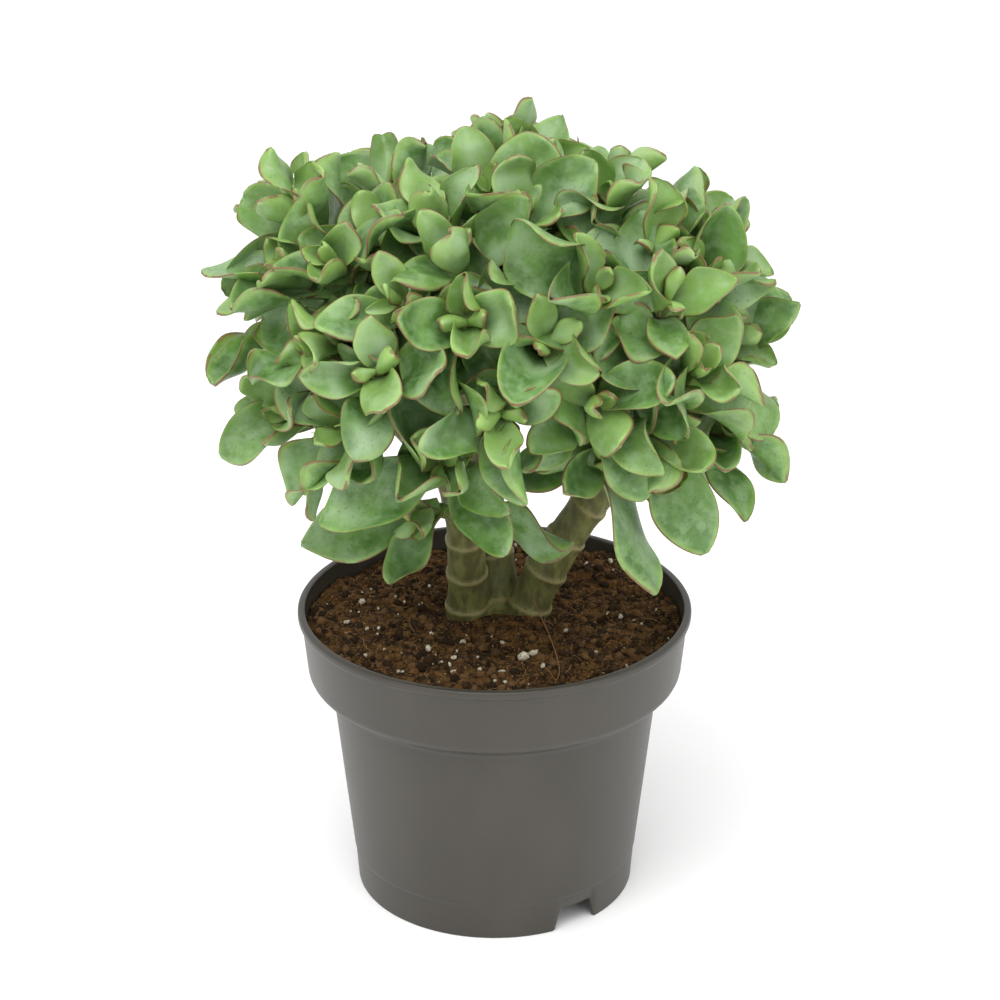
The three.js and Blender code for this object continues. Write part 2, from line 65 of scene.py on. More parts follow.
camera = bpy.data.objects.new("camera", bpy.data.cameras.new("camera"))
camera.location = CAMERA_PLACE
camera.rotation_euler = (np.radians(90 - CAMERA_DIP), 0, -np.radians(CAMERA_TURN))
camera.data.lens = LENS
bpy.context.collection.objects.link(camera)
bpy.context.scene.camera = camera


# %% Soft lights in a white room
def soft_light(name, place, aim, width, power, colour=(1, 1, 1)):
    """A square area light at place that faces aim, its side width in metres."""
    lamp = bpy.data.lights.new(name, "AREA")
    lamp.size, lamp.energy, lamp.color = width, power, colour
    item = bpy.data.objects.new(name, lamp)
    item.location = place
    away = np.subtract(place, aim)
    flat = np.hypot(away[0], away[1])
    item.rotation_euler = (np.arctan2(flat, away[2]), 0, np.arctan2(away[0], -away[1]))
    bpy.context.collection.objects.link(item)


CROWN_MIDDLE = (0, 0, 0.25)
soft_light("window", (-0.25, -0.75, 1.6), CROWN_MIDDLE, 1.3, 22)
soft_light("fill", (1.0, -1.0, 0.6), CROWN_MIDDLE, 0.9, 3)

world = bpy.data.worlds.new("white_room")
world.use_nodes = True
world.node_tree.nodes["Background"].inputs["Color"].default_value = (1, 1, 1, 1)
world.node_tree.nodes["Background"].inputs["Strength"].default_value = 1.0
bpy.context.scene.world = world
bpy.context.scene.view_settings.view_transform = "Standard"

# %% [markdown]
# ## Shader maths as Python
# A material here is written the way one would write the sum on paper. `Value` wraps a socket and turns +
# - * / into Math nodes, and `Finish.node` makes any other node from its type, its settings and its
# inputs.


# %% A socket that can be added and multiplied
class Value:
    """One number of a shader, with the operators that make Math nodes."""

    def __init__(self, finish, socket):
        self.finish, self.socket = finish, socket

    def maths(self, operation, *others):
        inputs = {i: other for i, other in enumerate((self, *others))}
        return self.finish.node("ShaderNodeMath", inputs, operation=operation)

    def __add__(self, other):
        return self.maths("ADD", other)

    def __mul__(self, other):
        return self.maths("MULTIPLY", other)

    def __sub__(self, other):
        return self.maths("SUBTRACT", other)

    def __truediv__(self, other):
        return self.maths("DIVIDE", other)

    def __rsub__(self, other):
        return self.finish.node("ShaderNodeMath", {0: other, 1: self}, operation="SUBTRACT")

    __radd__, __rmul__ = __add__, __mul__

    def above(self, low, high):
        """0 up to low, 1 from high on, and a smooth rise between them."""
        settings = {"interpolation_type": "SMOOTHSTEP", "clamp": True}
        inputs = {0: self, 1: low, 2: high, 3: 0.0, 4: 1.0}
        return self.finish.node("ShaderNodeMapRange", inputs, **settings)

    def below(self, low, high):
        """1 up to low, 0 from high on."""
        return 1 - self.above(low, high)


# %% One material and its nodes
class Finish:
    """A procedural material. Its methods give coordinates, noises, mixes and the final surface."""

    def __init__(self, name):
        self.material = bpy.data.materials.new(name)
        self.material.use_nodes = True
        self.tree = self.material.node_tree
        self.shader = self.tree.nodes["Principled BSDF"]

    def node(self, kind, inputs=None, output=0, **settings):
        """Adds a node: its settings first, then a value or a link on each of its inputs."""
        made = self.tree.nodes.new(kind)
        for name, value in settings.items():
            setattr(made, name, value)
        for key, value in (inputs or {}).items():
            if isinstance(value, Value):
                self.tree.links.new(value.socket, made.inputs[key])
            else:
                made.inputs[key].default_value = value
        return Value(self, made.outputs[output])

    def place(self):
        return self.node("ShaderNodeTexCoord", output="Object")

    def attribute(self, name):
        return self.node("ShaderNodeAttribute", output="Fac", attribute_name=name)

    def noise(self, size, detail=3.0, stretch=(1, 1, 1), rough=0.5):
        """Cloudy noise from 0 to 1, whose lumps are about size metres across."""
        scaled = self.node("ShaderNodeMapping", {"Vector": self.place(), "Scale": stretch})
        inputs = {"Vector": scaled, "Scale": 1 / size, "Detail": detail, "Roughness": rough}
        return self.node("ShaderNodeTexNoise", inputs)

    def mix(self, share, colour_a, colour_b):
        """colour_a where share is 0, colour_b where it is 1."""
        inputs = {0: share, 6: self.colour(colour_a), 7: self.colour(colour_b)}
        return self.node("ShaderNodeMix", inputs, output=2, data_type="RGBA")

    def colour(self, colour):
        """A screen colour of 0 to 255 as the shader's linear light, or a socket as it is."""
        if isinstance(colour, Value):
            return colour
        share = np.asarray(colour) / 255
        linear = np.where(share <= 0.04045, share / 12.92, ((share + 0.055) / 1.055) ** 2.4)
        return (*linear.tolist(), 1.0)

    def bump(self, height, strength, distance):
        inputs = {"Height": height, "Strength": strength, "Distance": distance}
        return self.node("ShaderNodeBump", inputs)

    def surface(self, **inputs):
        """Sets the shader's sockets, such as Base_Color or Roughness."""
        for name, value in inputs.items():
            socket = self.shader.inputs[name.replace("_", " ")]
            if isinstance(value, Value):
                self.tree.links.new(value.socket, socket)
            else:
                socket.default_value = value
        return self.material


# %% [markdown]
# ## Surfaces from numpy
# Every new piece is a set of points on a grid. The helpers below turn such grids into faces, round a tube
# about a path, and give repeatable noise, so that the same script always grows the same plant.

# %% Small sums


def lerp(low, high, share):
    return low + (high - low) * share


def smooth(share):
    """0 to 1 with a gentle start and end: 3t^2 - 2t^3 of the share cut to 0..1."""
    t = np.clip(share, 0, 1)
    return t * t * (3 - 2 * t)


def unit(vectors):
    return vectors / np.linalg.norm(vectors, axis=-1, keepdims=True)


def dot(a, b):
    return (a * b).sum(-1, keepdims=True)


def lattice_noise(points, size, seed=0.0):
    """Value noise, -1 to 1: a random number at each corner of a cubic lattice, blended smoothly between."""
    scaled = np.asarray(points) / size
    cell = np.floor(scaled)
    blend = smooth(scaled - cell)
    total = 0
    for corner in np.ndindex(2, 2, 2):
        mixed = (cell + corner) @ np.array([12.9898, 78.233, 37.719]) + seed * 5.137
        value = np.modf(np.sin(mixed) * 43758.5453)[0]
        total = total + value * np.prod(np.where(corner, blend, 1 - blend), axis=-1)
    return total


def fractal(points, size, octaves=4, seed=0.0):
    """A sum of lattice noises, each half the size and half the height of the one before."""
    return sum(lattice_noise(points, size / 2**k, seed + k) / 2**k for k in range(octaves))


# %% Grids, meshes and tubes
def grid_faces(rows, columns, closed):
    """The squares of a rows x columns grid of points. A closed grid joins its last column to its first."""
    across = columns if closed else columns - 1
    i, j = np.meshgrid(np.arange(rows - 1), np.arange(across), indexing="ij")
    k = (j + 1) % columns
    corners = [i * columns + j, i * columns + k, (i + 1) * columns + k, (i + 1) * columns + j]
    return np.stack(corners, -1).reshape(-1, 4)


def capped_tube_faces(rows, columns):
    """A closed grid with a pole point before its first row and another after its last row."""
    body = grid_faces(rows, columns, True) + 1
    j = np.arange(columns)
    k = (j + 1) % columns
    last = 1 + (rows - 1) * columns
    pole = rows * columns + 1
    start = np.stack([np.zeros(columns, int), k + 1, j + 1], -1)
    end = np.stack([last + j, last + k, np.full(columns, pole)], -1)
    return body, np.concatenate([start, end])


def make_piece(name, points, face_sets, attributes=None):
    """A smooth mesh object from points in millimetres, arrays of faces, and numbers stored at its points."""
    mesh = bpy.data.meshes.new(name)
    faces = [face for faces in face_sets for face in faces.tolist()]
    mesh.from_pydata((np.asarray(points) * MM).tolist(), [], faces)
    for key, values in (attributes or {}).items():
        stored = mesh.attributes.new(key, "FLOAT", "POINT")
        stored.data.foreach_set("value", np.ravel(values).astype(np.float32))
    mesh.polygons.foreach_set("use_smooth", np.ones(len(mesh.polygons), bool))
    mesh.update()
    piece = bpy.data.objects.new(name, mesh)
    bpy.context.collection.objects.link(piece)
    return piece


def stand_for(piece, material, slot, *nodes):
    """Gives a piece its material and body, and lets it stand for its CAD nodes. The slot is not used."""
    piece.data.materials.append(material)
    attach(piece, "root")
    if nodes:
        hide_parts(*nodes)


def smooth_path(points, count):
    """A Catmull-Rom curve through the points, at count even steps of its parameter."""
    knots = np.asarray(points, float)
    padded = np.array([2 * knots[0] - knots[1], *knots, 2 * knots[-1] - knots[-2]])
    t = np.linspace(0, len(knots) - 1 - 1e-9, count)
    i = t.astype(int)
    f = (t - i)[:, None]
    a, b, c, d = (padded[i + k] for k in range(4))
    bend = 2 * a - 5 * b + 4 * c - d
    swing = 3 * b - a - 3 * c + d
    return 0.5 * (2 * b + (c - a) * f + bend * f**2 + swing * f**3)


def tube(path, radii, sides):
    """Rings round a path, path + radius * (cos t * side + sin t * other side), and a point at each end."""
    along = unit(np.gradient(path, axis=0))
    side = unit(np.cross(along, np.where(np.abs(along[:1, 2:]) < 0.8, [[0.0, 0, 1]], [[1.0, 0, 0]])))
    other = np.cross(along, side)
    turn = np.arange(sides) * 2 * np.pi / sides
    spread = side[:, None] * np.cos(turn)[:, None] + other[:, None] * np.sin(turn)[:, None]
    rings = path[:, None] + spread * np.broadcast_to(radii, (sides, len(path))).T[..., None]
    return np.concatenate([path[:1], rings.reshape(-1, 3), path[-1:]])


# %% [markdown]
# ## The nursery pot
# The real pot is one thin injection moulding: a rounded lip, a deep collar, a slightly tapered body and a
# foot ring that stands in a little. It could be cut from a cylinder, but a turned outline is closer to
# how its mould was made: a list of corners is rounded, carried round the axis, and the notches are pulled
# up out of the foot.


# %% A rounded outline and a turned surface
def rounded(corners, radii, steps=5):
    """Each corner becomes the curve (1-t)^2 a + 2t(1-t) corner + t^2 b from a before it to b after it."""
    points = np.asarray(corners, float)
    before, after = np.roll(points, 1, axis=0), np.roll(points, -1, axis=0)
    before[0], after[-1] = points[0], points[-1]
    reach = np.asarray(radii, float)[:, None]
    a = points + reach * np.nan_to_num(unit(before - points + 1e-12))
    b = points + reach * np.nan_to_num(unit(after - points + 1e-12))
    t = np.linspace(0, 1, steps)[None, :, None]
    curve = (1 - t) ** 2 * a[:, None] + 2 * t * (1 - t) * points[:, None] + t**2 * b[:, None]
    flat = curve.reshape(-1, 2)
    apart = np.linalg.norm(np.diff(flat, axis=0, prepend=flat[:1] - 1), axis=1) > 0.02
    return flat[apart]


def turned(outline, segments):
    """The outline's points (r, z) carried round the Z axis: (r sin a, -r cos a, z), with a from the front."""
    azimuth = np.arange(segments) * 2 * np.pi / segments
    radius, height = outline[:, :1], outline[:, 1:]
    around = [radius * np.sin(azimuth), -radius * np.cos(azimuth), height + 0 * azimuth]
    return np.stack(around, -1), azimuth


# %% The pot's sizes and outline
pot_low, pot_high = (np.array(corner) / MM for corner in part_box("nursery_pot"))
LIP_RADIUS, POT_HEIGHT = float(pot_high[0]), float(pot_high[2])
WALL = 1.6
COLLAR_EDGE, BODY_TOP, FOOT_TOP = POT_HEIGHT - 30, POT_HEIGHT - 36, 16.5
COLLAR_RADIUS, COLLAR_EDGE_RADIUS = LIP_RADIUS - 1.6, LIP_RADIUS - 4.2
BODY_TOP_RADIUS, BODY_FOOT_RADIUS, FOOT_RADIUS = 71.0, 62.6, 61.0
FLOOR_UNDERSIDE = FOOT_TOP - 2.2
NOTCH_HALF_WIDTH, NOTCH_HEIGHT, NOTCH_AZIMUTHS = 10.5, 10.5, (35, 215)
POT_SEGMENTS = 432

outside = [
    ((0.5, FLOOR_UNDERSIDE), 0),
    ((FOOT_RADIUS - WALL, FLOOR_UNDERSIDE), 1),
    ((FOOT_RADIUS - WALL, 0), 0.5),
    ((FOOT_RADIUS, 0), 0.5),
    ((BODY_FOOT_RADIUS - 0.4, FOOT_TOP - 0.4), 0.4),
    ((BODY_FOOT_RADIUS, FOOT_TOP + 0.4), 0.4),
    ((BODY_TOP_RADIUS, BODY_TOP), 3),
    ((COLLAR_EDGE_RADIUS, COLLAR_EDGE), 3),
    ((COLLAR_RADIUS, POT_HEIGHT - 4.4), 0.8),
    ((LIP_RADIUS, POT_HEIGHT - 3.4), 0.9),
    ((LIP_RADIUS, POT_HEIGHT), 1.5),
    ((COLLAR_RADIUS - WALL, POT_HEIGHT), 0.9),
    ((COLLAR_RADIUS - WALL, POT_HEIGHT - 4), 0.8),
    ((COLLAR_EDGE_RADIUS - WALL, COLLAR_EDGE + WALL), 2),
    ((BODY_TOP_RADIUS - WALL, BODY_TOP + WALL), 2),
    ((BODY_FOOT_RADIUS - WALL, FOOT_TOP), 2),
    ((0.5, FOOT_TOP), 0),
]
outline = rounded([corner for corner, _ in outside], [radius for _, radius in outside])
rings, azimuth = turned(outline, POT_SEGMENTS)
print("pot outline points:", len(outline), "lip radius:", LIP_RADIUS)

# %% Notches in the foot, drain holes and the finished pot
# Every point of the foot ring is lifted so that its lower edge follows the notch: z' = n + z (t - n) / t,
# with n the notch height at that azimuth and t the height where the lift has died away.
NOTCH_SLOPE = 3.4
lift_end = FLOOR_UNDERSIDE - 1
off_middle = azimuth - np.radians(NOTCH_AZIMUTHS)[:, None]
arc = np.abs((off_middle + np.pi) % (2 * np.pi) - np.pi) * FOOT_RADIUS
notch = NOTCH_HEIGHT * smooth((NOTCH_HALF_WIDTH + 0.6 - arc.min(0)) / NOTCH_SLOPE)
in_foot = rings[..., 2] < lift_end
lifted = notch + rings[..., 2] * (lift_end - notch) / lift_end
rings[..., 2] = np.where(in_foot, lifted, rings[..., 2])

poles = np.array([[0, 0, outline[0, 1]], [0, 0, outline[-1, 1]]])
pot_points = np.concatenate([poles[:1], rings.reshape(-1, 3), poles[1:]])
pot = make_piece("nursery_pot_shell", pot_points, capped_tube_faces(len(outline), POT_SEGMENTS))

DRAIN_HOLES, DRAIN_CIRCLE, DRAIN_RADIUS = 6, 38, 4.5
turns = np.arange(DRAIN_HOLES) * 2 * np.pi / DRAIN_HOLES
hole_middles = DRAIN_CIRCLE * np.stack([np.cos(turns), np.sin(turns), 0 * turns], -1)
through_floor = np.array([(0, 0, z) for z in (10, 14, 18, 22)])
drills = [tube(middle + through_floor, np.full(4, DRAIN_RADIUS), 32) for middle in hole_middles]
cutters = [make_piece("drain_drill", points, capped_tube_faces(4, 32)) for points in drills]
for cutter in cutters:
    drill = pot.modifiers.new("drain", "BOOLEAN")
    drill.operation, drill.object, drill.solver = "DIFFERENCE", cutter, "FAST"


def bake_modifiers(piece):
    """Swaps the piece's mesh for the one that its modifiers make."""
    graph = bpy.context.evaluated_depsgraph_get()
    finished = bpy.data.meshes.new_from_object(piece.evaluated_get(graph))
    piece.modifiers.clear()
    piece.data = finished


bake_modifiers(pot)
for cutter in cutters:
    bpy.data.objects.remove(cutter)

# %% [markdown]
# The plastic is dark warm grey polypropylene with a satin skin. Moulding leaves faint rings, handling
# leaves pale scuffs on the lip and dust near the foot, and watering leaves a few soil specks.

# %% Grey nursery plastic
plastic = Finish("nursery_plastic")
dust = plastic.noise(0.03, 4, (1, 1, 0.5))
scuffs = plastic.noise(0.002, 2, (1, 1, 6))
specks = plastic.noise(0.0012, 1).above(0.74, 0.78)
grey = plastic.mix(dust.above(0.35, 0.75), (54, 50, 43), (61, 57, 50))
grey = plastic.mix(scuffs.above(0.62, 0.8) * 0.25, grey, (92, 88, 80))
grey = plastic.mix(specks * 0.35, grey, (58, 48, 36))
flow = plastic.noise(0.004, 2, (1, 1, 0.05)) * 0.5 + plastic.noise(0.0008, 1) * 0.5
plastic.surface(
    Base_Color=grey,
    Roughness=dust * 0.14 + 0.36,
    Normal=plastic.bump(flow, 0.12, 0.0004),
    Specular_IOR_Level=0.5,
)
stand_for(pot, plastic.material, "pot", "nursery_pot")

# %% [markdown]
# ## Soil, perlite and litter
# Peat mix is a heap of crumbs and fibres. A heap of simulated grains would be slow and would never settle
# the same way twice, so the top is one dense grid lifted by several layers of noise, and the loose things
# on it are small closed lumps. The eye takes the two together for loose earth.

# %% The soil's height
SOIL_LEVEL = POT_HEIGHT - 9.5
SOIL_GAP = 0.3


def soil_height(x, y):
    """Soil level, plus low waves and a bank behind the stems, plus crumbly noise from 14 mm down to 1 mm."""
    waves = np.sin(x / 9 + 1) * np.cos(y / 11) + np.sin((x + y) / 15)
    bank = 5 * np.exp(-((x - 44) ** 2 + (y - 52) ** 2) / 500)
    flat = np.stack([x, y, 0 * x], -1)
    lumps = fractal(flat, 14, 2, 3) + 0.9 * np.abs(fractal(flat, 5, 3, 8))
    return SOIL_LEVEL + 0.8 * waves + bank + 1.7 * lumps


# %% The soil's surface and body
SOIL_RINGS, SOIL_SEGMENTS = 120, 420
mouth = COLLAR_RADIUS - WALL - SOIL_GAP
wall_side = [
    (0.5, FOOT_TOP + SOIL_GAP),
    (BODY_FOOT_RADIUS - WALL - SOIL_GAP, FOOT_TOP + SOIL_GAP),
    (BODY_TOP_RADIUS - WALL - SOIL_GAP, BODY_TOP + WALL),
    (COLLAR_EDGE_RADIUS - WALL - SOIL_GAP, COLLAR_EDGE + WALL),
    (mouth - 0.9, SOIL_LEVEL - 6),
]
top_radii = (mouth - 0.6) * np.linspace(1, 0.006, SOIL_RINGS)
soil_outline = np.concatenate([wall_side, np.stack([top_radii, np.full(SOIL_RINGS, SOIL_LEVEL)], -1)])
soil_rings, _ = turned(soil_outline, SOIL_SEGMENTS)
top = soil_rings[len(wall_side):]
top[..., 2] = soil_height(top[..., 0], top[..., 1])
soil_poles = np.array([[0, 0, FOOT_TOP + SOIL_GAP], top[-1].mean(0)])
soil_points = np.concatenate([soil_poles[:1], soil_rings.reshape(-1, 3), soil_poles[1:]])
soil = make_piece("peat_soil", soil_points, capped_tube_faces(len(soil_outline), SOIL_SEGMENTS))
print("soil points:", len(soil_points))


# %% Lumps: crumbs of peat and grains of perlite
def lump_shape():
    """The corners and faces of the coarsest ball, with few enough faces for thousands of copies."""
    made = bpy.data.meshes.new("ball")
    ball = bmesh.new()
    bmesh.ops.create_icosphere(ball, subdivisions=1, radius=1)
    ball.to_mesh(made)
    ball.free()
    points = np.empty(len(made.vertices) * 3)
    made.vertices.foreach_get("co", points)
    faces = np.array([tuple(face.vertices) for face in made.polygons])
    bpy.data.meshes.remove(made)
    return points.reshape(-1, 3), faces


ball_points, ball_faces = lump_shape()
print("faces of a lump:", len(ball_faces))


def scattered_lumps(name, places, sizes, tones, seed):
    """One mesh of many lumps. Each is the ball, stretched, turned and dented by its own random numbers."""
    rng = np.random.default_rng(seed)
    count = len(places)
    stretch = rng.uniform(0.6, 1.25, (count, 1, 3))
    turn = np.linalg.qr(rng.normal(size=(count, 3, 3)))[0]
    turn = turn * np.sign(np.linalg.det(turn))[:, None, None]
    dents = rng.uniform(0.72, 1.2, (count, len(ball_points), 1))
    shapes = (ball_points[None] * dents * stretch) @ turn
    points = places[:, None] + shapes * sizes[:, None, None] / 2
    faces = (ball_faces[None] + np.arange(count)[:, None, None] * len(ball_points)).reshape(-1, 3)
    tone = np.repeat(tones, len(ball_points))
    return make_piece(name, points.reshape(-1, 3), [faces], {"tone": tone})


def spots_on_soil(count, seed, clear=14):
    """Random places on the soil, even over its area and clear of the stems' feet."""
    rng = np.random.default_rng(seed)
    radius = (mouth - 4) * np.sqrt(rng.uniform(0, 1, 2 * count))
    turn = rng.uniform(0, 2 * np.pi, 2 * count)
    x, y = radius * np.sin(turn), -radius * np.cos(turn)
    free = np.hypot((x - 3) / 2.2, y - 4) > clear
    x, y = x[free][:count], y[free][:count]
    return np.stack([x, y, soil_height(x, y)], -1)


crumb_spots = spots_on_soil(2200, 11)
rng = np.random.default_rng(5)
crumb_sizes = 1.0 + 4.2 * rng.uniform(0, 1, len(crumb_spots)) ** 2.6
crumbs = scattered_lumps("peat_crumbs", crumb_spots, crumb_sizes, rng.uniform(0, 1, len(crumb_spots)), 21)

grain_spots = spots_on_soil(90, 31)
front = np.exp(-((grain_spots[:, 0] - 8) ** 2 + (grain_spots[:, 1] + 50) ** 2) / 900)
grain_sizes = (1.0 + 2.0 * rng.uniform(0, 1, len(grain_spots)) ** 1.6) * (1 + 0.8 * front)
grain_spots[:, 2] += 0.4 * grain_sizes
grain_tones = rng.uniform(0.3, 1, len(grain_spots))
grains = scattered_lumps("small_perlite", grain_spots, grain_sizes, grain_tones, 41)
print("crumbs:", len(crumb_spots), "small perlite grains:", len(grain_spots))

# %% The larger perlite grains, each a dented ball in the place of its solid
perlite_nodes = sorted(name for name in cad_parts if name.startswith("perlite"))
big_grains = []
for number, node in enumerate(perlite_nodes):
    low, high = (np.array(corner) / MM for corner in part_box(node))
    piece = make_piece(f"{node}_dented", (low + high) / 2 + ball_points * (high - low) / 2, [ball_faces])
    subdivide = piece.modifiers.new("fine", "SUBSURF")
    subdivide.levels = subdivide.render_levels = 2
    bake_modifiers(piece)
    points = np.empty(len(piece.data.vertices) * 3)
    piece.data.vertices.foreach_get("co", points)
    points = points.reshape(-1, 3) / MM
    middle = (low + high) / 2
    pushed = middle + (points - middle) * (1.12 + 0.28 * fractal(points, 1.6, 2, number)[:, None])
    piece.data.vertices.foreach_set("co", (pushed * MM).ravel())
    big_grains.append((piece, node))

# %% Fibres and the dry root hair
fibre_spots = spots_on_soil(90, 51, 10)
rng = np.random.default_rng(61)
fibre_points, fibre_faces = [], []
for spot in fibre_spots:
    heading = rng.uniform(0, 2 * np.pi)
    length = rng.uniform(4, 13)
    steps = np.linspace(-0.5, 0.5, 6)[:, None] * length
    bend = rng.uniform(-2, 2) * np.cos(steps / length * np.pi)
    x = spot[0] + steps * np.cos(heading) - bend * np.sin(heading)
    y = spot[1] + steps * np.sin(heading) + bend * np.cos(heading)
    inside = np.minimum(1, (mouth - 3) / np.hypot(x, y))
    z = soil_height(x * inside, y * inside) + rng.uniform(0.1, 0.9)
    path = np.concatenate([x * inside, y * inside, z], 1)
    body, caps = capped_tube_faces(6, 4)
    start = len(fibre_points) * (6 * 4 + 2)
    fibre_points.append(tube(path, np.full(6, rng.uniform(0.12, 0.3)), 4))
    fibre_faces += [body + start, caps + start]
fibres = make_piece("peat_fibres", np.concatenate(fibre_points), fibre_faces)

HAIR_KNOTS = [(15, -6, 141), (18, -22, 139), (24, -38, 131), (27, -50, 124), (25, -58, 121.5)]
hair_path = smooth_path(HAIR_KNOTS, 30)
root_hair = make_piece("root_hair", tube(hair_path, np.full(30, 0.22), 6), capped_tube_faces(30, 6))

# %% Peat, perlite and straw finishes
peat = Finish("peat")
coarse, fine = peat.noise(0.006, 4), peat.noise(0.0012, 4, rough=0.7)
brown = peat.mix(coarse.above(0.4, 0.68), (40, 27, 12), (100, 70, 36))
brown = peat.mix(fine.above(0.5, 0.72), brown, (150, 110, 66))
brown = peat.mix(peat.noise(0.0016, 1).above(0.7, 0.74) * 0.8, brown, (168, 140, 96))
peat.surface(
    Base_Color=brown, Roughness=0.95, Normal=peat.bump(fine + coarse, 0.9, 0.0012), Specular_IOR_Level=0.2
)
stand_for(soil, peat.material, "soil", "potting_soil")

crumbly = Finish("peat_crumb")
tone = crumbly.attribute("tone")
brown = crumbly.mix(tone.above(0.1, 0.9), (40, 29, 16), (112, 82, 50))
brown = crumbly.mix(crumbly.noise(0.001).above(0.45, 0.7) * 0.6, brown, (60, 40, 24))
crumbly.surface(
    Base_Color=brown,
    Roughness=0.95,
    Normal=crumbly.bump(crumbly.noise(0.0006), 0.8, 0.0006),
    Specular_IOR_Level=0.2,
)
stand_for(crumbs, crumbly.material, "soil")

perlite = Finish("perlite")
pores = perlite.noise(0.0007, 2)
white = perlite.mix(pores.above(0.35, 0.6), (150, 134, 104), (226, 219, 198))
perlite.surface(Base_Color=white, Roughness=0.9, Normal=perlite.bump(pores, 0.7, 0.0005))
stand_for(grains, perlite.material, "perlite")
for piece, node in big_grains:
    stand_for(piece, perlite.material, "perlite", node)

straw = Finish("dry_fibre")
straw.surface(
    Base_Color=straw.mix(straw.noise(0.003), (94, 62, 34), (150, 112, 66)),
    Roughness=0.8,
    Normal=straw.bump(straw.noise(0.0004), 0.3, 0.0002),
)
stand_for(fibres, straw.material, "soil")
stand_for(root_hair, straw.material, "bark")

# %% [markdown]
# ## The plan of the plant
# A tree is easiest to build from its skeleton: stems, then limbs, then the twigs with their leaves. The
# stems and limbs are paths, and each shoot is one growing tip. A shoot's leaves stand in pairs, each pair
# a quarter turn from the one before, so their places follow from the tip. Only the long leaves that show
# on the crown's edge are named one by one: the hour that they point to on a clock seen from the front,
# how far they lean forwards (1 is straight at the viewer, -1 straight away), and their length.

# %% Stems, limbs and shoots, in millimetres
STEM_PATHS = {
    "left_stem": [(-12, 9, -23), (-12, 7, 0), (-12, 1, 19), (-13, -6, 41), (-17, -13, 63)],
    "right_stem": [(12, 10, -23), (17, 9, 0), (29, 5, 26), (45, 0, 53), (60, -4, 75)],
    "back_stem": [(1, 16, -23), (1, 19, 0), (-2, 22, 21), (-5, 25, 51), (-4, 26, 77)],
}
LIMB_ENDS = {
    "left_stem": [(-74, -12, 115), (-38, -56, 117), (-48, -26, 163), (-4, -52, 141)],
    "right_stem": [(94, -10, 125), (60, -56, 119), (56, -22, 167)],
    "back_stem": [(4, -8, 177), (-52, 50, 145), (50, 50, 145)],
}
HEART = (2, 0, 101)  # the point that twigs grow away from
ROOT_OF_AXES = (2, 10, 59)  # lower down, because a shoot turns up towards the light


